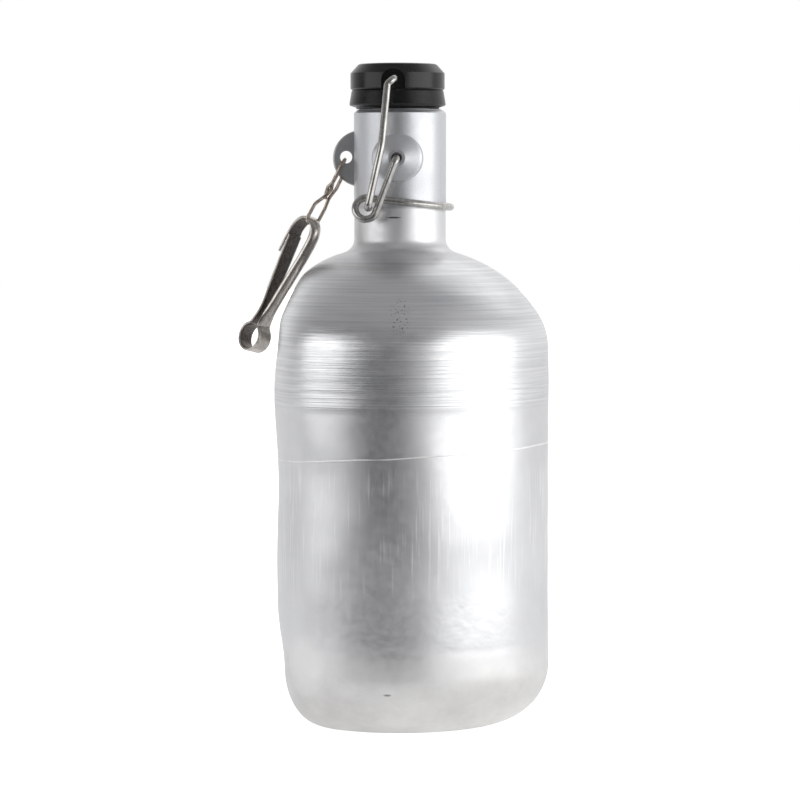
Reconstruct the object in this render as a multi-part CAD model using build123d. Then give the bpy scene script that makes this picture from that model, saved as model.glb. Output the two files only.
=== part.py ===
from build123d import *
import os
from math import cos, radians, sin

# Swing-top aluminium flask with a snap hook. Millimetres, +Z up along the neck, origin on the
# neck's axis at the base plane. The front is -Y, the carry lug is at -X, the lever's bow at +X.

# Body: spun shell, round at +X and pressed flatter at -X
BODY_RADIUS = 55.0
BASE_CORNER = 22.0
SHOULDER_RADIUS = 22.0
SHOULDER_START_Z = 139.4
SHOULDER_TURN = 34.0
DOME_RADIUS = 55.0
DOME_TURN = 40.0
NECK_FILLET = 5.4
WALL = 1.4
PRESS_POWER = 8
PRESS_CORNER_POWER = 0.8
# how far the pressed side stands from the neck's axis, from base to shoulder: (height, distance)
PRESS_LINE = [(0, 42.5), (20, 43.0), (45, 46.3), (85, 45.8), (125, 47.6), (147, 45.4), (165, 40.3), (174, 35.0)]

# Neck tube, collar and mouth
COLLAR_BOTTOM_Z = 190.1
COLLAR_TOP_Z = 226.3
COLLAR_RADIUS = 17.0
COLLAR_CHAMFER = 1.2
TUBE_RADIUS = 15.2
BORE_RADIUS = 13.0
LIP_Z = 226.7

# Pivot bosses, eyelets and carry lug
PIVOT_Z = 208.5
BOSS_RADIUS = 9.5
BOSS_FACE_Y = 19.4
BOSS_LAND = 3.1
EYELET_BORE = 2.0
EYELET_RADIUS = 2.6
EYELET_FLANGE = 3.0
EYELET_FACE_Y = 19.8
LUG_CENTRE_X = -14.4
LUG_RADIUS = 10.4
LUG_THICKNESS = 2.4
LUG_HOLE_X = -19.9
LUG_HOLE_Z = 209.0
LUG_HOLE_RADIUS = 2.3

# Closure wires
WIRE_RADIUS = 1.35
PIN_END_Y = 16.2
ARM_Y = 21.4
STRAND_Y = 18.6
EYE_X = -11.2
EYE_Z = PIVOT_Z - 18.4
EYE_RADIUS = 3.9
EYE_TURN = 63.5
ARM_SLOPE = 21.4
BOW_RADIUS = 18.6
BOW_DROP = 17.9
TIGHT_BEND = 2.0
BAIL_PIN_X = -10.3
BAIL_PIN_Z = PIVOT_Z - 18.2
BAIL_TIP_Y = 17.4
BAIL_LEG_Y = 24.5
BAIL_TOP_Y = 20.2
BAIL_KNEE_X = -5.3
BAIL_KNEE_Z = PIVOT_Z + 4
BAIL_BEND = 12.0
BAIL_HEAD_X = -3.3

# Stopper, centred a little to the lug's side of the neck
STOPPER_X = -0.9
CROSS_HOLE_Z = 237.4
CROSS_HOLE_RADIUS = WIRE_RADIUS + 0.06
HEAD_RADIUS = 17.4
HEAD_TOP_RADIUS = 14.6
HEAD_TOP_Z = 243.2
HEAD_CHAMFER_Z = 239.8
HEAD_BOTTOM_Z = 233.6
STEM_RADIUS = 8.0
BUTTON_RADIUS = 11.2
BUTTON_TOP_Z = 225.4
BUTTON_BOTTOM_Z = 223.3
RECESS_RADIUS = 4.4
RECESS_FLOOR_Y = 15.6
RECESS_X = STOPPER_X - 0.6

# Chain link, hanging from the lug's hole
LINK_WIRE = 0.65
LINK_LEAN = 28.4
LINK_LOOP = 2.6
LINK_FOOT = 2.9
LINK_TWIST = 0.78
LINK_TOP = 0.9
LINK_BOTTOM = 28.0
FOOT_TURN = 41.6
TWIST_START = 10.8
TWIST_STEP = 2.2

# Snap hook, in its own plane: along its length and across it
STRIP_WIDTH = 6.6
STRIP_THICKNESS = 1.1
HOOK_TOP = Vector(-35.4, -1.0, 188.7)
HOOK_NORMAL = Vector(0.635, 0.743, -0.211)
HOOK_ALONG = Vector(-0.426, 0.1096, -0.8976)
EYE_ALONG = 50.9
EYE_ACROSS = -0.4
HOOK_EYE_RADIUS = 5.2
EYE_GAP = 24
ARM_WIDTH = 3.9
ARM_THICKNESS = 1.8


def press_distance(z):
    """Distance of the pressed side from the neck's axis, read off the press line."""
    if z >= PRESS_LINE[-1][0]:
        return PRESS_LINE[-1][1]
    for (z0, d0), (z1, d1) in zip(PRESS_LINE, PRESS_LINE[1:]):
        if z <= z1:
            share = (z - z0) / (z1 - z0)
            return d0 + (d1 - d0) * share
    return PRESS_LINE[-1][1]


def profile_arcs(inset):
    """Centre, radius, start and end angle of the turned profile's arcs, offset inwards by inset."""
    base = Vector(BODY_RADIUS - BASE_CORNER, BASE_CORNER)
    shoulder = Vector(BODY_RADIUS - SHOULDER_RADIUS, SHOULDER_START_Z)
    break_turn = radians(SHOULDER_TURN)
    dome = shoulder - Vector(cos(break_turn), sin(break_turn)) * (DOME_RADIUS - SHOULDER_RADIUS)
    foot_turn = SHOULDER_TURN + DOME_TURN
    outwards = Vector(cos(radians(foot_turn)), sin(radians(foot_turn)))
    neck = dome + outwards * (DOME_RADIUS + NECK_FILLET)
    return [
        (base, BASE_CORNER - inset, -90, 0),
        (shoulder, SHOULDER_RADIUS - inset, 0, SHOULDER_TURN),
        (dome, DOME_RADIUS - inset, SHOULDER_TURN, foot_turn),
        (neck, NECK_FILLET + inset, foot_turn + 180, 180),
    ]


def arc_points(centre, radius, start, end, steps):
    """(height, radius) of evenly spaced points along one arc of the profile."""
    points = []
    for step in range(steps + 1):
        turn = radians(start + (end - start) * step / steps)
        points.append((centre.Y + radius * sin(turn), centre.X + radius * cos(turn)))
    return points


def body_stations(inset):
    """(height, round radius) of the lofted sections, from the base to the collar's foot."""
    base, shoulder, dome, neck = profile_arcs(inset)
    stations = arc_points(*base, steps=6)
    stations += [(z, BODY_RADIUS - inset) for z in (32, 50, 75, 100, 120)]
    stations += arc_points(*shoulder, steps=3)
    stations += arc_points(*dome, steps=6)[1:] + arc_points(*neck, steps=4)[1:]
    foot_z, neck_radius = stations[-1]
    rise = COLLAR_BOTTOM_Z - inset - foot_z
    return stations + [(foot_z + rise * step / 4, neck_radius) for step in range(1, 5)]


def body_section(z, radius, side):
    """A closed section of the body: round, with the -X side pressed flatter."""
    points = []
    for step in range(36):
        turn = radians(10 * step)
        reach = radius
        if cos(turn) < -0.01:
            wall = side / -cos(turn)
            reach = (radius ** -PRESS_POWER + wall ** -PRESS_POWER) ** (-1 / PRESS_POWER)
        points.append((reach * cos(turn), reach * sin(turn)))
    return Plane.XY.offset(z) * Face(Wire(Spline(*points, periodic=True)))


def body_solid(inset):
    """The body and its neck as one solid, or with an inset the space inside them."""
    sections = []
    for z, radius in body_stations(inset):
        side = press_distance(z) - inset
        if z < BASE_CORNER:
            side *= (radius / (BODY_RADIUS - inset)) ** PRESS_CORNER_POWER
        sections.append(body_section(z, radius, side))
    return loft(sections)


def ring(z0, z1, outer, inner=0.0):
    """An upright tube or disc between two heights."""
    solid = Pos(0, 0, z0) * Cylinder(outer, z1 - z0, align=(Align.CENTER, Align.CENTER, Align.MIN))
    if inner:
        solid -= Pos(0, 0, z0) * Cylinder(inner, z1 - z0, align=(Align.CENTER, Align.CENTER, Align.MIN))
    return solid


def turned(points, x=0.0):
    """A solid turned about the upright axis at x from (radius, height) points."""
    outline = Plane.XZ * Polyline(*points, close=True)
    return Pos(x, 0, 0) * revolve(make_face(outline), Axis.Z)


def across(y0, y1, radius, x, z):
    """A round bar or hole along Y between two depths."""
    return Pos(x, (y0 + y1) / 2, z) * Rot(90, 0, 0) * Cylinder(radius, abs(y1 - y0))


def bent_wire(points, radii, wire):
    """A round wire along straight runs joined by tangent bends."""
    path = FilletPolyline(*points, radius=radii)
    start = Plane(path @ 0, z_dir=path % 0)
    return sweep(start * Circle(wire), path=path)


def bottle_shell():
    tube = ring(COLLAR_BOTTOM_Z - 2, LIP_Z, TUBE_RADIUS)
    tube = fillet(tube.edges().group_by(Axis.Z)[-1], 0.4)
    shell = body_solid(0) + tube - body_solid(WALL)
    return shell - ring(COLLAR_BOTTOM_Z - 3 * WALL, LIP_Z, BORE_RADIUS)


def neck_collar():
    collar = ring(COLLAR_BOTTOM_Z, COLLAR_TOP_Z, COLLAR_RADIUS, TUBE_RADIUS)
    outer_top = collar.edges().group_by(Axis.Z)[-1].sort_by(SortBy.LENGTH)[-1]
    collar = chamfer(outer_top, COLLAR_CHAMFER)
    return collar - across(-COLLAR_RADIUS - 1, COLLAR_RADIUS + 1, EYELET_RADIUS, 0, PIVOT_Z)


def pivot_boss(side):
    outline = Plane.XY * Polyline(
        (EYELET_RADIUS, -BOSS_FACE_Y),
        (BOSS_LAND, -BOSS_FACE_Y),
        (BOSS_RADIUS - 1.2, -COLLAR_RADIUS - 0.25),
        (BOSS_RADIUS - 0.5, -COLLAR_RADIUS + 0.3),
        (BOSS_RADIUS, -COLLAR_RADIUS + 2.8),
        (BOSS_RADIUS, -COLLAR_RADIUS + 4.0),
        (EYELET_RADIUS, -COLLAR_RADIUS + 4.0),
        close=True,
    )
    boss = Pos(0, 0, PIVOT_Z) * revolve(make_face(outline), Axis.Y)
    boss -= ring(PIVOT_Z - 20, PIVOT_Z + 20, COLLAR_RADIUS)
    return boss if side < 0 else mirror(boss, about=Plane.XZ)


def pivot_eyelet(side):
    eyelet = across(-PIN_END_Y + 0.6, -EYELET_FACE_Y, EYELET_RADIUS, 0, PIVOT_Z)
    eyelet += across(-BOSS_FACE_Y, -EYELET_FACE_Y, EYELET_FLANGE, 0, PIVOT_Z)
    eyelet -= across(-PIN_END_Y + 0.6, -EYELET_FACE_Y, EYELET_BORE, 0, PIVOT_Z)
    return eyelet if side < 0 else mirror(eyelet, about=Plane.XZ)


def carry_lug():
    lug = across(-LUG_THICKNESS / 2, LUG_THICKNESS / 2, LUG_RADIUS, LUG_CENTRE_X, PIVOT_Z)
    lug = fillet(lug.edges(), 0.7)
    lug -= ring(PIVOT_Z - 20, PIVOT_Z + 20, COLLAR_RADIUS)
    return lug - across(-3, 3, LUG_HOLE_RADIUS, LUG_HOLE_X, LUG_HOLE_Z)


def eye_corners():
    """Corners round one eye, with the tight bends starting at the arm and ending at the strand."""
    reach = EYE_RADIUS / cos(radians(EYE_TURN / 2))
    depths = (-ARM_Y, -ARM_Y + 0.8, -STRAND_Y - 0.8, -STRAND_Y)
    corners = []
    for step, depth in enumerate(depths):
        turn = radians(-ARM_SLOPE - EYE_TURN * (step + 0.5))
        corners.append((EYE_X + reach * cos(turn), depth, EYE_Z + reach * sin(turn)))
    return corners


def lever_wire():
    front = [(0, -PIN_END_Y, PIVOT_Z), (0, -ARM_Y, PIVOT_Z)] + eye_corners()
    front.append((BOW_RADIUS, -STRAND_Y, PIVOT_Z - BOW_DROP))
    rear = [(x, -y, z) for x, y, z in reversed(front)]
    bends = [TIGHT_BEND] + 4 * [EYE_RADIUS - 0.12] + [BOW_RADIUS - 0.1]
    return bent_wire(front + rear, bends + bends[::-1], WIRE_RADIUS)


def bail_wire():
    front = [
        (BAIL_PIN_X, -BAIL_TIP_Y, BAIL_PIN_Z),
        (BAIL_PIN_X, -BAIL_LEG_Y, BAIL_PIN_Z),
        (BAIL_KNEE_X, -BAIL_LEG_Y, BAIL_KNEE_Z),
        (BAIL_HEAD_X, -BAIL_TOP_Y, CROSS_HOLE_Z - 2),
        (STOPPER_X, -BAIL_TOP_Y, CROSS_HOLE_Z),
    ]
    rear = [(x, -y, z) for x, y, z in reversed(front)]
    bends = [TIGHT_BEND, BAIL_BEND, TIGHT_BEND, TIGHT_BEND]
    return bent_wire(front + rear, bends + bends[::-1], WIRE_RADIUS)


def stopper_head():
    head = turned(
        [
            (0, HEAD_TOP_Z + 0.3),
            (HEAD_TOP_RADIUS - 4, HEAD_TOP_Z + 0.2),
            (HEAD_TOP_RADIUS - 0.6, HEAD_TOP_Z),
            (HEAD_TOP_RADIUS, HEAD_TOP_Z - 0.3),
            (HEAD_RADIUS, HEAD_CHAMFER_Z),
            (HEAD_RADIUS, HEAD_BOTTOM_Z + 0.6),
            (HEAD_RADIUS - 0.6, HEAD_BOTTOM_Z),
            (STEM_RADIUS, HEAD_BOTTOM_Z),
            (STEM_RADIUS, BUTTON_TOP_Z),
            (BUTTON_RADIUS, BUTTON_TOP_Z),
            (BUTTON_RADIUS - 0.8, BUTTON_BOTTOM_Z),
            (0, BUTTON_BOTTOM_Z),
        ],
        STOPPER_X,
    )
    for side in (-1, 1):
        recess_depth = (side * RECESS_FLOOR_Y, side * (HEAD_RADIUS + 2))
        recess = across(*recess_depth, RECESS_RADIUS, RECESS_X, CROSS_HOLE_Z - 0.7)
        slot = Box(2 * RECESS_RADIUS, 4, CROSS_HOLE_Z - HEAD_BOTTOM_Z)
        slot_y = side * (RECESS_FLOOR_Y + 2)
        slot_z = (CROSS_HOLE_Z + HEAD_BOTTOM_Z) / 2 - 0.7
        head -= recess + Pos(RECESS_X, slot_y, slot_z) * slot
    return head - across(-20, 20, CROSS_HOLE_RADIUS, STOPPER_X, CROSS_HOLE_Z)


def stopper_gasket():
    return turned(
        [
            (STEM_RADIUS, HEAD_BOTTOM_Z),
            (HEAD_RADIUS - 0.7, HEAD_BOTTOM_Z),
            (HEAD_RADIUS - 0.4, HEAD_BOTTOM_Z - 0.5),
            (HEAD_RADIUS + 0.4, LIP_Z + 1.7),
            (HEAD_RADIUS + 0.1, LIP_Z + 1.2),
            (TUBE_RADIUS + 0.2, LIP_Z + 0.5),
            (TUBE_RADIUS, LIP_Z),
            (BORE_RADIUS - 1.0, LIP_Z),
            (BORE_RADIUS - 1.2, BUTTON_TOP_Z),
            (STEM_RADIUS, BUTTON_TOP_Z),
        ],
        STOPPER_X,
    )


def link_point(along, front, aside):
    """A point of the chain link: down the link, towards +Y, and aside in the upright plane."""
    lean = radians(LINK_LEAN)
    x = LUG_HOLE_X - along * sin(lean) + aside * cos(lean)
    z = LUG_HOLE_Z - along * cos(lean) - aside * sin(lean)
    return (x, front, z)


def foot_point(along, reach):
    """A point of the lower loop, which opens along the hook's strip."""
    turn = radians(FOOT_TURN)
    return link_point(along, reach * cos(turn), reach * sin(turn))


def twist_corners(side):
    """One strand's turns through the twist, from the lug's loop down to the hook's loop."""
    corners = []
    for step in range(4):
        turn = radians((180 + FOOT_TURN) * step / 3)
        front = side * LINK_TWIST * cos(turn)
        corners.append(link_point(TWIST_START + TWIST_STEP * step, front, side * LINK_TWIST * sin(turn)))
    return corners


def chain_link():
    upper = [link_point(7.2, 2.2, 0), link_point(LINK_TOP, LINK_LOOP, 0)]
    upper += [link_point(LINK_TOP, -LINK_LOOP, 0), link_point(7.2, -2.2, 0)]
    foot = [foot_point(21, LINK_FOOT), foot_point(LINK_BOTTOM, LINK_FOOT)]
    foot += [foot_point(LINK_BOTTOM, -LINK_FOOT), foot_point(20.5, -LINK_FOOT)]
    tail = [link_point(7.5, -2.3, 2.3), link_point(12.0, 0, 2.3), foot_point(16.5, 2.2)]
    points = tail + foot + twist_corners(1)[::-1] + upper + twist_corners(-1)
    twist_bends = 4 * [0.8]
    bends = [3, 3] + [3, 2.1, 2.1, 3] + twist_bends + [3, 2.5, 2.5, 3] + twist_bends[1:]
    return bent_wire(points, bends, LINK_WIRE)


def hook_plane(depth):
    """The plane of the hook's outline, at a depth across the strip."""
    origin = HOOK_TOP + HOOK_NORMAL * depth
    return Plane(origin, x_dir=HOOK_ALONG, z_dir=HOOK_NORMAL)


def strip(path, depth, width, thickness):
    """A strip bent along an outline in the hook's plane, from a depth over a width."""
    band = hook_plane(depth) * trace(path, thickness)
    return extrude(band, width, dir=HOOK_NORMAL)


def hook_frame():
    """Nose and top bend, rolled arm and round eye of the snap hook, one formed strip."""
    nose = FilletPolyline((17.5, 4.0), (10.2, 3.9), (7.0, 3.3), (0.8, 3.2), (0.8, -2.4), radius=[2, 4, 5.4])
    nose_strip = strip(nose, 0, STRIP_WIDTH, STRIP_THICKNESS)
    nose_strip -= hook_plane(STRIP_WIDTH / 2) * Pos(0, -5.4, 0) * Box(8, 12, STRIP_WIDTH + 2)
    arm_corners = [(7.0, 3.2), (0.8, 3.2), (0.8, -8.0), (15.0, -7.5), (28.0, -5.3), (46.2, -2.4)]
    arm = FilletPolyline(*arm_corners, radius=[5.5, 5.5, 30, 60])
    arm_strip = strip(arm, (STRIP_WIDTH - ARM_WIDTH) / 2, ARM_WIDTH, ARM_THICKNESS)
    start = radians(180 + EYE_GAP)
    centre = Vector(EYE_ALONG, EYE_ACROSS)
    opening = Vector(HOOK_EYE_RADIUS * cos(start), HOOK_EYE_RADIUS * sin(start))
    far_side = Vector(opening.X, -opening.Y)
    eye = ThreePointArc(centre + opening, centre + Vector(HOOK_EYE_RADIUS, 0), centre + far_side)
    return nose_strip + arm_strip + strip(eye, 0, STRIP_WIDTH, STRIP_THICKNESS)


def hook_gate():
    """The strip's flat spring arm, from the hook's eye up to its tip inside the nose."""
    gate = FilletPolyline((10.2, 2.75), (37.5, 1.0), (45.1, 2.4), radius=[15])
    return strip(gate, 0, STRIP_WIDTH, STRIP_THICKNESS * 0.9)


def main():
    nodes = {
        "bottle_shell": bottle_shell(),
        "neck_collar": neck_collar(),
        "pivot_boss_front": pivot_boss(-1),
        "pivot_boss_rear": pivot_boss(1),
        "pivot_eyelet_front": pivot_eyelet(-1),
        "pivot_eyelet_rear": pivot_eyelet(1),
        "carry_lug": carry_lug(),
        "lever_wire": lever_wire(),
        "bail_wire": bail_wire(),
        "stopper_head": stopper_head(),
        "stopper_gasket": stopper_gasket(),
        "chain_link": chain_link(),
        "hook_frame": hook_frame(),
        "hook_gate": hook_gate(),
    }
    os.makedirs("parts", exist_ok=True)
    for name, solid in nodes.items():
        export_step(solid, f"parts/{name}.step")


main()
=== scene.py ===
import math

import bpy
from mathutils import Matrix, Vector, noise


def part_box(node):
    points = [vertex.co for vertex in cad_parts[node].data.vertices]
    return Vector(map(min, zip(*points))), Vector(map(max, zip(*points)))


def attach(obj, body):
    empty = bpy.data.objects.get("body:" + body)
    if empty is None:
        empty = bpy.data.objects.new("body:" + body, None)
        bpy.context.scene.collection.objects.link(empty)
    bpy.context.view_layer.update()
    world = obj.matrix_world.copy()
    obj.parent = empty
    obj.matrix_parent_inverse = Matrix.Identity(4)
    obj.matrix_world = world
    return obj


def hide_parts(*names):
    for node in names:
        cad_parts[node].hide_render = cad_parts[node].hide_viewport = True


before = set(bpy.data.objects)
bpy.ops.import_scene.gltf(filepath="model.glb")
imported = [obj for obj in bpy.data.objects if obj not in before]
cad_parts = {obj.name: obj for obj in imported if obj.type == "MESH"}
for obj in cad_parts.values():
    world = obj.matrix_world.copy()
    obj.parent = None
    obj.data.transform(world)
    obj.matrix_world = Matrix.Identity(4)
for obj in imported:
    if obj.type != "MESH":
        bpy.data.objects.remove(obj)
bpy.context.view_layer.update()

# Lengths in metres, read from the frame where the frame has them
MM = 0.001
LIP_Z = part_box("bottle_shell")[1][2]
COLLAR_FOOT_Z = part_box("neck_collar")[0][2]

# The body's turned profile, as the CAD shell has it, with its turns in degrees
BODY_RADIUS = 55.0 * MM
BASE_CORNER = 22.0 * MM
SHOULDER_RADIUS = 22.0 * MM
SHOULDER_START_Z = 139.4 * MM
SHOULDER_TURN = 34.0
DOME_RADIUS = 55.0 * MM
DOME_TURN = 40.0
NECK_FILLET = 5.4 * MM
WALL = 1.4 * MM
TUBE_RADIUS = 15.2 * MM
BORE_RADIUS = 13.0 * MM
LIP_ROUND = 0.4 * MM
TUBE_TOP_Z = LIP_Z - 0.5 * MM
INSIDE_TOP_Z = COLLAR_FOOT_Z - 3 * WALL

# The pressed side: (height, distance from the neck's axis) in millimetres
PRESS_LINE = [
    (0, 42.5), (20, 43.0), (45, 46.3), (85, 45.8),
    (125, 47.6), (147, 45.4), (165, 40.3), (174, 35.0),
]

# How the round body blends into the pressed side, and where it is left round
PRESS_POWER = 8
PRESS_CORNER_POWER = 0.8
LEAST_TOWARD = 0.01
CENTRE_RADIUS = 2 * MM

# How finely the skin is meshed
SKIN_COLUMNS = 300
SKIN_STEP = 1.1 * MM
INSIDE_STEP = 4 * MM
LIP_STEP = 0.15 * MM
SKIN_SHARP = 0.9

# Unevenness of the sheet: noise over the shape in waves per metre, and its depth
SLOW_DENT_SCALE = 26.0
SLOW_DENT_DEPTH = 0.55 * MM
SMALL_DENT_SCALE = 75.0
SMALL_DENT_SHIFT = Vector((3, 1, 2))
SMALL_DENT_DEPTH = 0.12 * MM

# Fine spun rings on the shoulder, in radians per millimetre, and a faint step near the base
RING_START_Z = 117 * MM
RING_WAVES = (0.62, 0.173)
RING_DEPTH = 0.02 * MM
STEP_RING_Z = 31.5 * MM
STEP_RING_WIDTH = 1.5 * MM
STEP_RING_DEPTH = 0.04 * MM

# The dents fade in from the axis and from the base
DENT_FREE_RADIUS = 17 * MM
DENT_FADE_RADIUS = 6 * MM
DENT_FADE_HEIGHT = 8 * MM

# The snap hook's plane, as in the CAD
HOOK_TOP = Vector((-35.4, -1.0, 188.7)) * MM
HOOK_NORMAL = Vector((0.635, 0.743, -0.211)).normalized()
HOOK_ALONG = Vector((-0.426, 0.1096, -0.8976))
HOOK_ALONG = (HOOK_ALONG - HOOK_NORMAL * HOOK_ALONG.dot(HOOK_NORMAL)).normalized()
HOOK_ACROSS = HOOK_NORMAL.cross(HOOK_ALONG)

# The hook's strip in millimetres: one rolled by less than FLAT_ROLL radians is flat
STRIP_WIDTH = 6.6
STRIP_THICKNESS = 1.0
MIDDLE = STRIP_WIDTH / 2
FLAT_ROLL = 0.02

# The hook's eye in millimetres and degrees
EYE_CENTRE = (50.9, -0.4)
EYE_RADIUS = 5.2
EYE_START = 210
EYE_END = 514

# How finely the strips are meshed
SIDE_STEPS = 10
EDGE_STEPS = 4
PATH_STEPS = 14
EYE_STEPS = 12
STRIP_SHARP = 0.8

# Zones of the bottle's surface in millimetres of height: low, high, fade
SPUN_ZONE = (118.5, 172, 2)
DRAWN_ZONE = (53, 96, 7)
PEEL_ZONE = (30, 52, 5)
STAINED_ZONE = (-5, 27, 8)
SCRIBE_ZONE = (100.9, 101.3, 0.22)

# The metal gets rougher from the first of these heights to the second
NECK_START, NECK_END = 168, 178

# How far the scribed ring wanders in height, and a negative tilt lifts it to the right
SCRIBE_WOBBLE = 0.8
SCRIBE_TILT = -0.057

# Single marks on the bottle in millimetres, and a painted reflection of the floor: place, half size
PITTED_MARK = ((3, -50, 151), (4, 9, 9))
NECK_MARK = ((-1.2, -17, 186.8), (2.8, 3, 0.35))
BASE_MARK = ((-1.2, -53, 16.6), (1.7, 4, 0.5))
# The pale patch low on the left front is a painted reflection of the floor, not a mark on the metal
PAINTED_REFLECTION_MARK = ((-31, -42, 26), (9, 12, 11))
MARK_CORE = 0.6
MARK_EDGE = 1.1

# Tones of the aluminium, the first three over a noise's value
CLOUD_TONES = [(0.3, (0.70, 0.705, 0.715)), (0.7, (0.80, 0.805, 0.81))]
LINE_TONES = [(0.35, (0.60, 0.61, 0.63)), (0.62, (0.84, 0.845, 0.85))]
STAIN_TONES = [(0.34, (0.72, 0.71, 0.695)), (0.66, (0.84, 0.835, 0.82))]
STREAK_TONE = (0.93, 0.93, 0.93)
PIT_TONE = (0.16, 0.16, 0.16)
NECK_MARK_TONE = (0.12, 0.12, 0.12)
BASE_MARK_TONE = (0.34, 0.33, 0.31)
# Near white: the painted reflection of the floor low on the left
PAINTED_REFLECTION_TONE = (0.92, 0.92, 0.91)
SCRIBE_TONE = (0.97, 0.97, 0.97)

# Tones of the other pieces
NICKEL_TONES = ((0.48, 0.44, 0.41), (0.64, 0.60, 0.56))
# A dark copy of the nickel for the strips' inner faces, which face the dark front: painted shade
NICKEL_PAINTED_SHADE_TONES = ((0.09, 0.08, 0.075), (0.26, 0.235, 0.22))
SILVER_TONES = ((0.56, 0.57, 0.59), (0.72, 0.73, 0.755))
# The lug is the collar's silver, darkened because it sits in shadow: painted shade
LUG_PAINTED_SHADE_TONES = ((0.46, 0.465, 0.475), (0.58, 0.585, 0.595))
STAINLESS_TONES = ((0.36, 0.35, 0.335), (0.56, 0.55, 0.53))
LINK_TONES = ((0.32, 0.26, 0.21), (0.64, 0.56, 0.49))
BLACK = (0.002, 0.002, 0.0022)
STOPPER_DUST = (0.09, 0.09, 0.095)
GASKET_DUST = (0.08, 0.08, 0.085)
DUST_SHARE = 0.3

# Noise values mostly lie between these
NOISE_LOW = 0.3
NOISE_HIGH = 0.7

# The colour sockets of a Mix node, which share their names with others
MIX_FIRST = 6
MIX_SECOND = 7
MIX_RESULT = 2

# The surroundings: grey in front of the flask and above it, near white behind it and to the right
WORLD_TONES = [(0.0, (0.17, 0.17, 0.172)), (0.3, (0.25, 0.25, 0.255)), (1.0, (0.95, 0.95, 0.95))]
WORLD_TOP_TONE = (0.34, 0.34, 0.35)
WORLD_LEAN = 0.6
WHITE = (1.0, 1.0, 1.0)
SOFTBOX_AIM = Vector((0, 0, 0.12))
SOFTBOX_SPREAD = 3.14

# The floor, in metres
FLOOR_HALF = 6.0
FLOOR_Z = -0.5 * MM

# Where the floor dims and glows, in millimetres from the flask's axis
FLOOR_TONES = [(0.3, (0.93, 0.93, 0.93)), (0.7, (0.95, 0.95, 0.95))]
FLOOR_DIM_TONE = (0.10, 0.10, 0.10)
DIM_NEAR, DIM_FAR = 70, 320
DIM_FRONT, DIM_BACK = -300, -50
DIM_RIGHT_START, DIM_RIGHT_END = 120, 380
GLOW_NEAR, GLOW_FAR = 60, 320
GLOW_AT_FOOT = 0.45
GLOW_PLAIN = 0.30
GLOW_DIM = 0.01

# The camera: just above the collar's foot, a little to the right of the front, tipped down
CAMERA_TURN = 3.5
CAMERA_DISTANCE = 1.3
CAMERA_HEIGHT = 0.195
CAMERA_LENS = 158.0
CAMERA_SENSOR = 36.0
CAMERA_PITCH = 3.34


# ---------------------------------------------------------------- node helpers

def new_material(name):
    material = bpy.data.materials.new(name)
    material.use_nodes = True
    return material, material.node_tree, material.node_tree.nodes["Principled BSDF"]


def add(tree, kind, **values):
    """A node with its properties and unlinked inputs set by name."""
    node = tree.nodes.new(kind)
    for name, value in values.items():
        if name in node.inputs:
            node.inputs[name].default_value = value
        else:
            setattr(node, name, value)
    return node


def math_node(tree, operation, first, second):
    """A Math node over sockets or plain numbers."""
    node = add(tree, "ShaderNodeMath", operation=operation)
    for socket, value in zip(node.inputs, (first, second)):
        if isinstance(value, (int, float)):
            socket.default_value = value
        else:
            tree.links.new(value, socket)
    return node.outputs[0]


def times(tree, first, second):
    return math_node(tree, "MULTIPLY", first, second)


def plus(tree, first, second):
    return math_node(tree, "ADD", first, second)


def object_coords(tree, scale=(1, 1, 1)):
    """Object coordinates in millimetres, times scale."""
    coords = add(tree, "ShaderNodeTexCoord")
    mapping = add(tree, "ShaderNodeMapping")
    mapping.inputs["Scale"].default_value = [value / MM for value in scale]
    tree.links.new(coords.outputs["Object"], mapping.inputs["Vector"])
    return mapping.outputs["Vector"]


def split_axes(tree):
    """A node whose outputs X, Y and Z are the object coordinates in millimetres."""
    split = add(tree, "ShaderNodeSeparateXYZ")
    tree.links.new(object_coords(tree), split.inputs[0])
    return split


def noise_value(tree, scale, size, detail=3.0, roughness=0.55, distortion=0.0):
    """Noise over object coordinates: scale stretches it, size is its frequency per millimetre."""
    node = add(tree, "ShaderNodeTexNoise", Scale=size, Detail=detail, Roughness=roughness)
    node.inputs["Distortion"].default_value = distortion
    tree.links.new(object_coords(tree, scale), node.inputs["Vector"])
    return node.outputs["Fac"]


def even_noise(tree, size, **settings):
    """Noise with the same size in every direction."""
    return noise_value(tree, (1, 1, 1), size, **settings)


def map_range(tree, value, limits, **properties):
    """A Map Range node with its limits set by name."""
    node = add(tree, "ShaderNodeMapRange", **properties)
    for name, number in limits.items():
        node.inputs[name].default_value = number
    tree.links.new(value, node.inputs["Value"])
    return node.outputs[0]


def remap(tree, value, low, high, to_low, to_high):
    """Carries low..high to to_low..to_high, and keeps values beyond at the ends."""
    return map_range(tree, value, {"From Min": low, "From Max": high, "To Min": to_low, "To Max": to_high})


def from_noise(tree, value, to_low, to_high):
    """Carries the usual range of a noise to to_low..to_high."""
    return remap(tree, value, NOISE_LOW, NOISE_HIGH, to_low, to_high)


def ease(tree, value, start, end):
    """A smooth step from 0 at start to 1 at end."""
    return map_range(tree, value, {"From Min": start, "From Max": end}, interpolation_type="SMOOTHSTEP")


def band(tree, value, low, high, fade):
    """1 between low and high, eased to 0 across both ends."""
    rise = ease(tree, value, low - fade, low + fade)
    fall = ease(tree, value, high + fade, high - fade)
    return times(tree, rise, fall)


def ramp(tree, value, stops):
    """A colour ramp through (position, colour) stops."""
    node = add(tree, "ShaderNodeValToRGB")
    elements = node.color_ramp.elements
    while len(elements) < len(stops):
        elements.new(0.5)
    for element, (position, colour) in zip(elements, stops):
        element.position = position
        element.color = (*colour, 1)
    tree.links.new(value, node.inputs["Fac"])
    return node.outputs["Color"]


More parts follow.
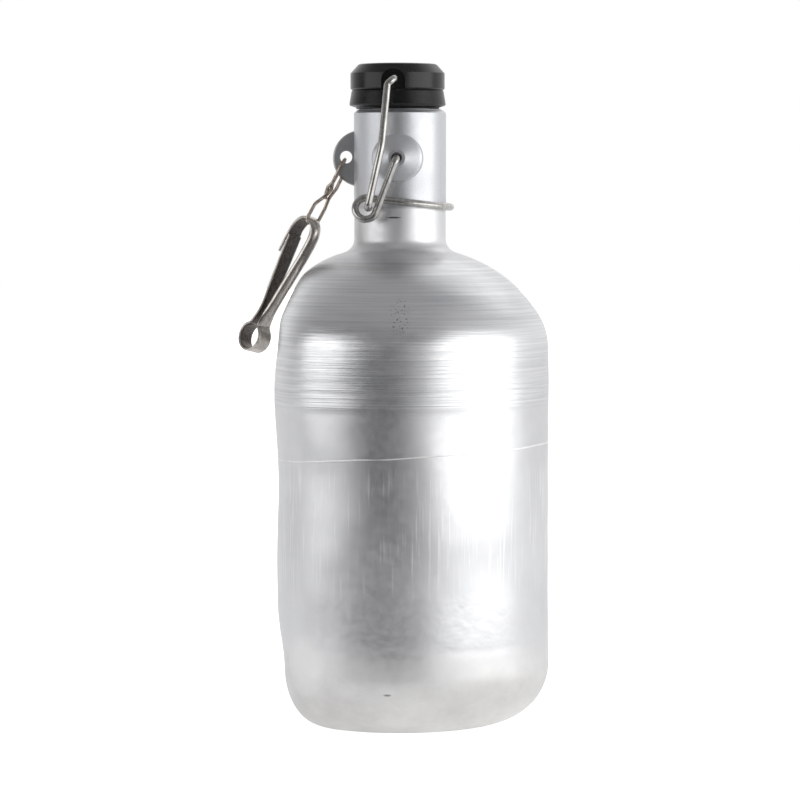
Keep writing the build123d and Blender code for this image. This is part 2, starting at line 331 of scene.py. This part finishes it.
def mark(tree, place, half_size):
    """1 inside a soft-edged ellipsoid at a place on the object, in millimetres."""
    mapping = add(tree, "ShaderNodeMapping", vector_type="TEXTURE")
    mapping.inputs["Location"].default_value = place
    mapping.inputs["Scale"].default_value = half_size
    tree.links.new(object_coords(tree), mapping.inputs["Vector"])
    distance = add(tree, "ShaderNodeVectorMath", operation="LENGTH")
    tree.links.new(mapping.outputs["Vector"], distance.inputs[0])
    return remap(tree, distance.outputs["Value"], MARK_CORE, MARK_EDGE, 1.0, 0.0)


def bump(tree, height, strength, distance, below=None):
    """A bump, on top of the normal of the one below it."""
    node = add(tree, "ShaderNodeBump", Strength=strength, Distance=distance)
    tree.links.new(height, node.inputs["Height"])
    if below is not None:
        tree.links.new(below, node.inputs["Normal"])
    return node.outputs["Normal"]


def mix_colour(tree, share, first, second):
    """From first to second as share goes from 0 to 1, each a socket or a colour."""
    node = add(tree, "ShaderNodeMix", data_type="RGBA")
    tree.links.new(share, node.inputs["Factor"])
    for index, value in ((MIX_FIRST, first), (MIX_SECOND, second)):
        if isinstance(value, tuple):
            node.inputs[index].default_value = (*value, 1)
        else:
            tree.links.new(value, node.inputs[index])
    return node.outputs[MIX_RESULT]


# ---------------------------------------------------------------- materials

def scribe_line(tree, axes):
    """1 along the thin ring scratched round the body, broken in places and not quite level."""
    waves = noise_value(tree, (1, 1, 0.01), 0.03)
    wobble = remap(tree, waves, 0.0, 1.0, -SCRIBE_WOBBLE, SCRIBE_WOBBLE)
    tilt = times(tree, axes.outputs["X"], SCRIBE_TILT)
    height = plus(tree, plus(tree, axes.outputs["Z"], wobble), tilt)
    broken = remap(tree, even_noise(tree, 0.12, detail=4), 0.36, 0.52, 0.35, 1.0)
    return times(tree, band(tree, height, *SCRIBE_ZONE), broken)


def aluminium_tone(tree, masks, cloud, lines):
    """Clouded metal with spin lines, streaks, stains, single marks and a painted reflection of the floor
    laid over it in turn.
    """
    line_share = times(tree, masks["spun"], 0.55)
    stains = noise_value(tree, (1, 1, 1.3), 0.07, detail=6, roughness=0.65)
    stain_share = times(tree, masks["stained"], 0.75)
    specks = remap(tree, even_noise(tree, 1.6, detail=2), 0.60, 0.65, 0.0, 1.0)
    pit_share = times(tree, times(tree, specks, mark(tree, *PITTED_MARK)), 0.8)
    # A near-white patch low on the left: painted reflection of the floor
    painted_reflection_share = times(tree, mark(tree, *PAINTED_REFLECTION_MARK), 0.5)
    tone = ramp(tree, cloud, CLOUD_TONES)
    for share, colour in (
        (line_share, ramp(tree, lines, LINE_TONES)),
        (masks["streaked"], STREAK_TONE),
        (stain_share, ramp(tree, stains, STAIN_TONES)),
        (pit_share, PIT_TONE),
        (mark(tree, *NECK_MARK), NECK_MARK_TONE),
        (mark(tree, *BASE_MARK), BASE_MARK_TONE),
        (painted_reflection_share, PAINTED_REFLECTION_TONE),
        (masks["scribed"], SCRIBE_TONE),
    ):
        tone = mix_colour(tree, share, tone, colour)
    return tone


def aluminium_roughness(tree, masks, height, cloud, grain):
    """Glossiest on clean metal, rougher where it is stained, streaked or scratched, and at the neck."""
    rough = from_noise(tree, cloud, 0.30, 0.36)
    for zone, more in (("stained", 0.12), ("streaked", 0.12), ("drawn", 0.03), ("scribed", 0.3)):
        rough = plus(tree, rough, times(tree, masks[zone], more))
    rough = plus(tree, rough, remap(tree, height, NECK_START, NECK_END, 0.0, 0.10))
    return plus(tree, rough, from_noise(tree, grain, -0.02, 0.03))


def aluminium():
    """Bare spun aluminium: spin lines on the shoulder, drawn scratches below, a stained base, and a pale
    patch low on the left that is a painted reflection of the floor.
    """
    material, tree, shader = new_material("spun_aluminium")
    shader.inputs["Metallic"].default_value = 1.0
    shader.inputs["Anisotropic"].default_value = 0.3
    tangent = add(tree, "ShaderNodeTangent", direction_type="RADIAL", axis="Z")
    tree.links.new(tangent.outputs[0], shader.inputs["Tangent"])

    lines = noise_value(tree, (0.012, 0.012, 1), 1.6, detail=2, roughness=0.6)
    broad_lines = noise_value(tree, (0.004, 0.004, 1), 0.28, detail=3)
    streaks = noise_value(tree, (1, 1, 0.03), 1.1, detail=2, roughness=0.5)
    cloud = even_noise(tree, 0.03, detail=4)
    grain = even_noise(tree, 0.35, detail=1, roughness=0.5)

    axes = split_axes(tree)
    height = axes.outputs["Z"]
    spun = band(tree, height, *SPUN_ZONE)
    drawn = band(tree, height, *DRAWN_ZONE)
    peel = band(tree, height, *PEEL_ZONE)
    strong_streaks = remap(tree, streaks, 0.56, 0.68, 0.0, 1.0)
    masks = {
        "spun": spun,
        "drawn": drawn,
        "stained": band(tree, height, *STAINED_ZONE),
        "streaked": times(tree, times(tree, strong_streaks, drawn), 0.7),
        "scribed": scribe_line(tree, axes),
    }
    tone = aluminium_tone(tree, masks, cloud, lines)
    tree.links.new(tone, shader.inputs["Base Color"])
    rough = aluminium_roughness(tree, masks, height, cloud, grain)
    tree.links.new(rough, shader.inputs["Roughness"])

    normal = None
    for relief, strength, distance in (
        (times(tree, lines, spun), 0.7, 0.12 * MM),
        (times(tree, broad_lines, spun), 0.35, 0.3 * MM),
        (times(tree, streaks, drawn), 0.15, 0.1 * MM),
        (times(tree, grain, peel), 0.2, 0.3 * MM),
        (masks["scribed"], 0.3, 0.1 * MM),
    ):
        normal = bump(tree, relief, strength, distance, normal)
    tree.links.new(normal, shader.inputs["Normal"])
    return material


def matt_silver(name, dark, light):
    """Fine-grained matt silver, as on the collar and its bosses."""
    material, tree, shader = new_material(name)
    shader.inputs["Metallic"].default_value = 0.85
    grain = even_noise(tree, 5.0, detail=3)
    cloud = even_noise(tree, 0.12, detail=3)
    tone = ramp(tree, grain, [(0.35, dark), (0.65, light)])
    tree.links.new(tone, shader.inputs["Base Color"])
    tree.links.new(from_noise(tree, cloud, 0.36, 0.46), shader.inputs["Roughness"])
    tree.links.new(bump(tree, grain, 0.25, 0.08 * MM), shader.inputs["Normal"])
    return material


def bright_wire(name, dark, light, low, high, wear_size=0.6):
    """Drawn wire or plated strip: fine grain, rubbed marks, and roughness from low to high."""
    material, tree, shader = new_material(name)
    shader.inputs["Metallic"].default_value = 1.0
    fine = even_noise(tree, 4.0, detail=4)
    wear = noise_value(tree, (1, 1, 0.25), wear_size, detail=5, roughness=0.65)
    tone = ramp(tree, wear, [(0.34, dark), (0.60, light)])
    tree.links.new(tone, shader.inputs["Base Color"])
    tree.links.new(from_noise(tree, fine, low, high), shader.inputs["Roughness"])
    normal = bump(tree, fine, 0.15, 0.05 * MM)
    tree.links.new(bump(tree, wear, 0.12, 0.1 * MM, normal), shader.inputs["Normal"])
    return material


def black_polymer(name, dust, low, high):
    """Black plastic or rubber, scuffed round, dusty in patches, and roughness from low to high."""
    material, tree, shader = new_material(name)
    shader.inputs["Specular IOR Level"].default_value = 0.4
    turned = noise_value(tree, (0.06, 0.06, 1), 2.6, detail=6, roughness=0.7)
    patch = noise_value(tree, (1, 1, 1.6), 0.16, detail=6, roughness=0.6, distortion=0.6)
    fine = even_noise(tree, 3.0, detail=4)
    share = times(tree, remap(tree, patch, 0.48, 0.72, 0.0, DUST_SHARE), turned)
    tree.links.new(mix_colour(tree, share, BLACK, dust), shader.inputs["Base Color"])
    rough = plus(tree, from_noise(tree, patch, low, high), times(tree, turned, 0.08))
    tree.links.new(rough, shader.inputs["Roughness"])
    normal = bump(tree, turned, 0.25, 0.1 * MM)
    tree.links.new(bump(tree, fine, 0.12, 0.08 * MM, normal), shader.inputs["Normal"])
    return material


# ---------------------------------------------------------------- meshes

def make_piece(name, vertices, faces, material, sharp=None):
    """A smooth-shaded object, with edges left sharp beyond an angle in radians."""
    mesh = bpy.data.meshes.new(name)
    mesh.from_pydata([tuple(vertex) for vertex in vertices], [], faces)
    mesh.validate()
    mesh.shade_smooth()
    if sharp:
        mesh.set_sharp_from_angle(angle=sharp)
    mesh.materials.append(material)
    piece = bpy.data.objects.new(name, mesh)
    bpy.context.scene.collection.objects.link(piece)
    return piece


def tube_faces(rows, columns):
    """Faces of a tube of rings, one after the other in the vertices, with a cap at each end."""
    faces = []
    for row in range(rows - 1):
        low, high = row * columns, (row + 1) * columns
        for column in range(columns):
            beside = (column + 1) % columns
            faces.append((low + column, low + beside, high + beside, high + column))
    faces.append(tuple(range(columns))[::-1])
    faces.append(tuple(range((rows - 1) * columns, rows * columns)))
    return faces


# ---------------------------------------------------------------- the bottle's skin

def press_distance(z):
    """Distance of the pressed side from the neck's axis at a height, eased along the press line."""
    height = z / MM
    for (low, near), (high, far) in zip(PRESS_LINE, PRESS_LINE[1:]):
        if height <= high:
            share = max(0.0, (height - low) / (high - low))
            share = share * share * (3 - 2 * share)
            return (near + (far - near) * share) * MM
    return PRESS_LINE[-1][1] * MM


def arc(centre, radius, start, end, step):
    """(radius, height) points along an arc of the profile, about step apart."""
    count = max(2, round(abs(math.radians(end - start)) * radius / step))
    points = []
    for index in range(count + 1):
        turn = math.radians(start + (end - start) * index / count)
        points.append((centre[0] + radius * math.cos(turn), centre[1] + radius * math.sin(turn)))
    return points


def straight(start, end, step):
    """(radius, height) points after start and up to end, about step apart."""
    count = max(1, round(math.dist(start, end) / step))
    points = []
    for index in range(1, count + 1):
        share = index / count
        points.append((start[0] + (end[0] - start[0]) * share, start[1] + (end[1] - start[1]) * share))
    return points


def body_profile(inset, step):
    """The turned profile from the base's centre to the neck, offset inwards by inset."""
    base = (BODY_RADIUS - BASE_CORNER, BASE_CORNER)
    shoulder = (BODY_RADIUS - SHOULDER_RADIUS, SHOULDER_START_Z)
    turn = math.radians(SHOULDER_TURN)
    gap = DOME_RADIUS - SHOULDER_RADIUS
    dome = (shoulder[0] - gap * math.cos(turn), shoulder[1] - gap * math.sin(turn))
    dome_end = SHOULDER_TURN + DOME_TURN
    turn = math.radians(dome_end)
    gap = DOME_RADIUS + NECK_FILLET
    neck = (dome[0] + gap * math.cos(turn), dome[1] + gap * math.sin(turn))
    points = straight((0.5 * MM, inset), (base[0], inset), 2 * step)
    points += arc(base, BASE_CORNER - inset, -90, 0, step)
    points += straight(points[-1], (BODY_RADIUS - inset, SHOULDER_START_Z), step)
    points += arc(shoulder, SHOULDER_RADIUS - inset, 0, SHOULDER_TURN, step)[1:]
    points += arc(dome, DOME_RADIUS - inset, SHOULDER_TURN, dome_end, step)[1:]
    points += arc(neck, NECK_FILLET + inset, dome_end + 180, 180, step / 2)[1:]
    return points + straight(points[-1], (points[-1][0], COLLAR_FOOT_Z - inset), step)


def reach(radius, height, turn, inset):
    """How far the skin stands from the axis in one direction, blended into the pressed side."""
    side = press_distance(height) - inset
    if height < BASE_CORNER:
        side *= min(1.0, radius / (BODY_RADIUS - inset)) ** PRESS_CORNER_POWER
    toward = -math.cos(turn)
    if toward < LEAST_TOWARD or radius < CENTRE_RADIUS:
        return radius
    wall = side / toward
    return (radius ** -PRESS_POWER + wall ** -PRESS_POWER) ** (-1 / PRESS_POWER)


def dent(x, y, z):
    """Hand-made unevenness of the sheet, in metres inwards."""
    place = Vector((x, y, z))
    slow = noise.noise(place * SLOW_DENT_SCALE) * SLOW_DENT_DEPTH
    small = noise.noise(place * SMALL_DENT_SCALE + SMALL_DENT_SHIFT) * SMALL_DENT_DEPTH
    rings = 0.0
    if z > RING_START_Z:
        rings = math.sin(z / MM * RING_WAVES[0]) * math.sin(z / MM * RING_WAVES[1]) * RING_DEPTH
    step_ring = STEP_RING_DEPTH * math.exp(-((z - STEP_RING_Z) / STEP_RING_WIDTH) ** 2)
    return slow + small + rings + step_ring


def skin_rows():
    """((radius, height), inset, pressed) of each ring, from the base up, over the lip and back down."""
    tube = [(TUBE_RADIUS, COLLAR_FOOT_Z), (TUBE_RADIUS, TUBE_TOP_Z)]
    lip_z = LIP_Z - LIP_ROUND
    lip = arc((TUBE_RADIUS - LIP_ROUND, lip_z), LIP_ROUND, 0, 90, LIP_STEP)
    lip += arc((BORE_RADIUS + LIP_ROUND, lip_z), LIP_ROUND, 90, 180, LIP_STEP)
    bore = straight((BORE_RADIUS, TUBE_TOP_Z), (BORE_RADIUS, INSIDE_TOP_Z), INSIDE_STEP)
    inner = body_profile(WALL, INSIDE_STEP)[::-1]
    inner = [point for point in inner if point[1] < INSIDE_TOP_Z - 0.1 * MM]
    rows = [(point, 0.0, True) for point in body_profile(0.0, SKIN_STEP)]
    rows += [(point, 0.0, False) for point in tube + lip + bore]
    return rows + [(point, WALL, True) for point in inner]


def bottle_skin():
    """The whole shell: outer skin, lip, bore and the inside, as one closed mesh."""
    rows = skin_rows()
    vertices = []
    for (radius, height), inset, pressed in rows:
        for column in range(SKIN_COLUMNS):
            turn = 2 * math.pi * column / SKIN_COLUMNS
            far = reach(radius, height, turn, inset) if pressed else radius
            x, y = far * math.cos(turn), far * math.sin(turn)
            if pressed and not inset and radius > DENT_FREE_RADIUS:
                fade = min(1.0, height / DENT_FADE_HEIGHT)
                fade *= min(1.0, (radius - DENT_FREE_RADIUS) / DENT_FADE_RADIUS)
                inwards = 1 - dent(x, y, height) * fade / far
                x, y = x * inwards, y * inwards
            vertices.append((x, y, height))
    faces = tube_faces(len(rows), SKIN_COLUMNS)
    return make_piece("bottle_skin", vertices, faces, aluminium(), sharp=SKIN_SHARP)


# ---------------------------------------------------------------- the snap hook

def smooth_path(corners, steps):
    """Points of a Catmull-Rom curve through given corners, with all their numbers."""
    points = []
    for index in range(len(corners) - 1):
        before = corners[max(index - 1, 0)]
        first, second = corners[index], corners[index + 1]
        after = corners[min(index + 2, len(corners) - 1)]
        for step in range(steps):
            t = step / steps
            point = []
            for a, b, c, d in zip(before, first, second, after):
                linear = (c - a) * t
                square = (2 * a - 5 * b + 4 * c - d) * t * t
                cube = (3 * b - a - 3 * c + d) * t ** 3
                point.append(0.5 * (2 * b + linear + square + cube))
            points.append(point)
    points.append(list(corners[-1]))
    return points


def strip_section(width, roll):
    """A round-edged strip section as (across the strip, off the strip) points, rolled by an angle."""
    outline = []
    for half in (1, -1):
        for index in range(SIDE_STEPS + 1):
            outline.append((half * (index / SIDE_STEPS - 0.5), half * 0.5, 0.0))
        for index in range(1, EDGE_STEPS):
            turn = math.pi * index / EDGE_STEPS
            outline.append((half * 0.5, half * 0.5 * math.cos(turn), 0.5 * math.sin(turn)))
    section = []
    flat_width = width - STRIP_THICKNESS
    for place, side, bulge in outline:
        run = place * flat_width + math.copysign(bulge * STRIP_THICKNESS, place)
        lift = side * STRIP_THICKNESS
        if roll < FLAT_ROLL:
            section.append((run, lift))
        else:
            radius = flat_width / roll
            turn = run / radius
            section.append(((radius - lift) * math.sin(turn), radius - (radius - lift) * math.cos(turn)))
    return section


# The inside material is painted shade: a darker copy of the outside material for the strip's inner faces
def hook_strip(name, corners, outside, inside):
    """A strip along (along, across, width, roll, depth of its middle) corners, in millimetres."""
    points = smooth_path(corners, PATH_STEPS)
    vertices = []
    for index, (along, across, width, roll, depth) in enumerate(points):
        ahead = points[min(index + 1, len(points) - 1)]
        behind = points[max(index - 1, 0)]
        tangent = Vector((ahead[0] - behind[0], ahead[1] - behind[1])).normalized()
        off = Vector((-tangent.y, tangent.x))
        section = strip_section(width, roll)
        for run, lift in section:
            place = HOOK_TOP + HOOK_ALONG * (along + off.x * lift) * MM
            place += HOOK_ACROSS * (across + off.y * lift) * MM
            vertices.append(place + HOOK_NORMAL * (depth + run) * MM)
    size = len(section)
    piece = make_piece(name, vertices, tube_faces(len(points), size), outside, sharp=STRIP_SHARP)
    # The second material darkens the faces on the inside of the strip's bends: painted shade
    piece.data.materials.append(inside)
    side_faces = size * (len(points) - 1)
    for polygon in piece.data.polygons:
        if polygon.index < side_faces and polygon.index % size < SIDE_STEPS:
            polygon.material_index = 1
    return piece


def eye_corners():
    """Corners round the hook's eye, from one side of the throat to the other."""
    corners = []
    for index in range(EYE_STEPS + 1):
        turn = math.radians(EYE_START + (EYE_END - EYE_START) * index / EYE_STEPS)
        along = EYE_CENTRE[0] + EYE_RADIUS * math.cos(turn)
        across = EYE_CENTRE[1] + EYE_RADIUS * math.sin(turn)
        corners.append((along, across, STRIP_WIDTH, 0.0, MIDDLE))
    return corners


def snap_hook(outside, inside):
    """The hook's nose, top bend, rolled arm and eye, and its spring gate."""
    rolled, wide = 2.7, STRIP_WIDTH
    corners = [
        (17.6, 4.1, 1.0, 0.0, 0.5),
        (14.0, 4.0, 1.1, 0.0, 0.55),
        (12.6, 3.95, 1.2, 0.0, 0.6),
        (11.6, 3.9, wide, 0.0, MIDDLE),
        (7.6, 3.45, wide, 0.0, MIDDLE),
        (4.4, 2.4, wide, 0.0, MIDDLE),
        (2.0, 0.6, wide, 0.2, MIDDLE),
        (0.9, -2.2, 6.4, 0.8, MIDDLE),
        (1.6, -5.0, 6.2, 2.0, MIDDLE),
        (4.0, -7.2, 6.2, rolled, MIDDLE),
        (8.0, -8.0, 6.2, rolled, MIDDLE),
        (15.0, -7.4, 6.2, rolled, MIDDLE),
        (22.0, -6.3, 6.2, rolled, MIDDLE),
        (30.0, -5.0, 6.2, rolled, MIDDLE),
        (38.0, -3.8, 6.2, 2.4, MIDDLE),
        (43.0, -2.9, 6.4, 1.2, MIDDLE),
        (45.6, -2.4, wide, 0.2, MIDDLE),
    ]
    hook = hook_strip("hook_strip", corners + eye_corners(), outside, inside)
    gate = hook_strip("gate_strip", [
        (46.1, 2.0, wide, 0.0, MIDDLE),
        (44.2, 1.6, 6.2, 0.0, MIDDLE),
        (41.0, 1.2, 5.6, 0.0, MIDDLE),
        (37.0, 1.05, 5.6, 0.0, MIDDLE),
        (28.0, 1.65, 6.2, 0.0, MIDDLE),
        (18.0, 2.25, wide, 0.0, MIDDLE),
        (10.2, 2.75, wide, 0.0, MIDDLE),
    ], outside, inside)
    return hook, gate


# ---------------------------------------------------------------- assembly

def dress(material, *nodes):
    """Gives CAD nodes a material in place of their own."""
    for node in nodes:
        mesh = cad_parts[node].data
        mesh.materials.clear()
        mesh.materials.append(material)


def build_object():
    skin = bottle_skin()
    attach(skin, "bottle")
    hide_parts("bottle_shell")

    nickel = bright_wire("nickel_plate", *NICKEL_TONES, 0.22, 0.32, wear_size=0.9)
    # The same nickel, darkened for the inner faces of the strips: painted shade
    nickel_painted_shade = bright_wire("nickel_painted_shade", *NICKEL_PAINTED_SHADE_TONES, 0.34, 0.46, wear_size=2.2)
    hook, gate = snap_hook(nickel, nickel_painted_shade)
    for piece, body, node in ((hook, "hook", "hook_frame"), (gate, "gate", "hook_gate")):
        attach(piece, body)
        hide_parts(node)

    silver = matt_silver("matt_silver", *SILVER_TONES)
    dress(silver, "neck_collar", "pivot_boss_front", "pivot_boss_rear")
    dress(silver, "pivot_eyelet_front", "pivot_eyelet_rear")
    # The carry lug gets a darker copy of the matt silver: painted shade
    dress(matt_silver("lug_painted_shade", *LUG_PAINTED_SHADE_TONES), "carry_lug")
    dress(bright_wire("stainless_wire", *STAINLESS_TONES, 0.18, 0.28), "lever_wire", "bail_wire")
    dress(bright_wire("link_wire", *LINK_TONES, 0.20, 0.34, wear_size=1.2), "chain_link")
    dress(black_polymer("stopper_plastic", STOPPER_DUST, 0.14, 0.26), "stopper_head")
    dress(black_polymer("gasket_rubber", GASKET_DUST, 0.20, 0.32), "stopper_gasket")


# ---------------------------------------------------------------- studio

def world_light():
    """Surroundings that are dimmer in front, and plain white to the camera."""
    world = bpy.data.worlds.new("studio")
    bpy.context.scene.world = world
    world.use_nodes = True
    tree = world.node_tree
    background = tree.nodes["Background"]
    coords = add(tree, "ShaderNodeTexCoord")
    split = add(tree, "ShaderNodeSeparateXYZ")
    tree.links.new(coords.outputs["Generated"], split.inputs[0])
    leaning = plus(tree, split.outputs["Y"], times(tree, split.outputs["X"], WORLD_LEAN))
    around = ramp(tree, remap(tree, leaning, -1.0, 0.3, 0.0, 1.0), WORLD_TONES)
    above = remap(tree, split.outputs["Z"], 0.35, 0.95, 0.0, 1.0)
    shade = mix_colour(tree, above, around, WORLD_TOP_TONE)
    path = add(tree, "ShaderNodeLightPath")
    seen = mix_colour(tree, path.outputs["Is Camera Ray"], shade, WHITE)
    tree.links.new(seen, background.inputs["Color"])


def softbox(name, azimuth, distance, height, width, tall, power):
    """An elliptical area light at an azimuth in degrees from the front, aimed at the flask."""
    data = bpy.data.lights.new(name, "AREA")
    data.shape = "ELLIPSE"
    data.size = width
    data.size_y = tall
    data.energy = power
    data.spread = SOFTBOX_SPREAD
    light = bpy.data.objects.new(name, data)
    turn = math.radians(azimuth)
    light.location = (distance * math.sin(turn), -distance * math.cos(turn), height)
    aim = SOFTBOX_AIM - light.location
    light.rotation_euler = aim.to_track_quat("-Z", "Y").to_euler()
    bpy.context.scene.collection.objects.link(light)


def studio():
    world_light()
    softbox("right_box", azimuth=63, distance=1.1, height=0.18, width=1.5, tall=0.72, power=4.3)
    softbox("left_box", azimuth=-58, distance=1.2, height=0.27, width=1.2, tall=0.60, power=2.8)
    softbox("top_box", azimuth=150, distance=0.9, height=1.2, width=1.2, tall=1.0, power=1.6)


def floor():
    """A pale floor that glows white to the camera away from the flask, and is dim in front of it."""
    material, tree, shader = new_material("pale_floor")
    shader.inputs["Roughness"].default_value = 0.9
    shader.inputs["Emission Color"].default_value = (*WHITE, 1)
    length = add(tree, "ShaderNodeVectorMath", operation="LENGTH")
    tree.links.new(object_coords(tree), length.inputs[0])
    distance = length.outputs["Value"]
    axes = split_axes(tree)

    away = remap(tree, distance, DIM_NEAR, DIM_FAR, 0.0, 1.0)
    ahead = remap(tree, axes.outputs["Y"], DIM_FRONT, DIM_BACK, 1.0, 0.0)
    leftwards = remap(tree, axes.outputs["X"], DIM_RIGHT_START, DIM_RIGHT_END, 1.0, 0.0)
    dim = times(tree, times(tree, away, ahead), leftwards)
    pale = ramp(tree, even_noise(tree, 0.004, detail=2), FLOOR_TONES)
    tree.links.new(mix_colour(tree, dim, pale, FLOOR_DIM_TONE), shader.inputs["Base Color"])

    seen = remap(tree, distance, GLOW_NEAR, GLOW_FAR, GLOW_AT_FOOT, 1.0)
    path = add(tree, "ShaderNodeLightPath")
    lit = times(tree, path.outputs["Is Camera Ray"], seen)
    glow = plus(tree, lit, remap(tree, dim, 0.0, 1.0, GLOW_PLAIN, GLOW_DIM))
    tree.links.new(glow, shader.inputs["Emission Strength"])

    half = FLOOR_HALF
    vertices = [(-half, -half, 0), (half, -half, 0), (half, half, 0), (-half, half, 0)]
    piece = make_piece("floor", vertices, [(0, 1, 2, 3)], material)
    piece.location.z = FLOOR_Z


def camera():
    data = bpy.data.cameras.new("camera")
    data.lens = CAMERA_LENS
    data.sensor_width = CAMERA_SENSOR
    piece = bpy.data.objects.new("camera", data)
    turn = math.radians(CAMERA_TURN)
    right, front = CAMERA_DISTANCE * math.sin(turn), -CAMERA_DISTANCE * math.cos(turn)
    piece.location = (right, front, CAMERA_HEIGHT)
    piece.rotation_euler = (math.radians(90 - CAMERA_PITCH), 0, turn)
    bpy.context.scene.collection.objects.link(piece)
    bpy.context.scene.camera = piece


build_object()
studio()
floor()
camera()
bpy.context.scene.view_settings.view_transform = "Standard"
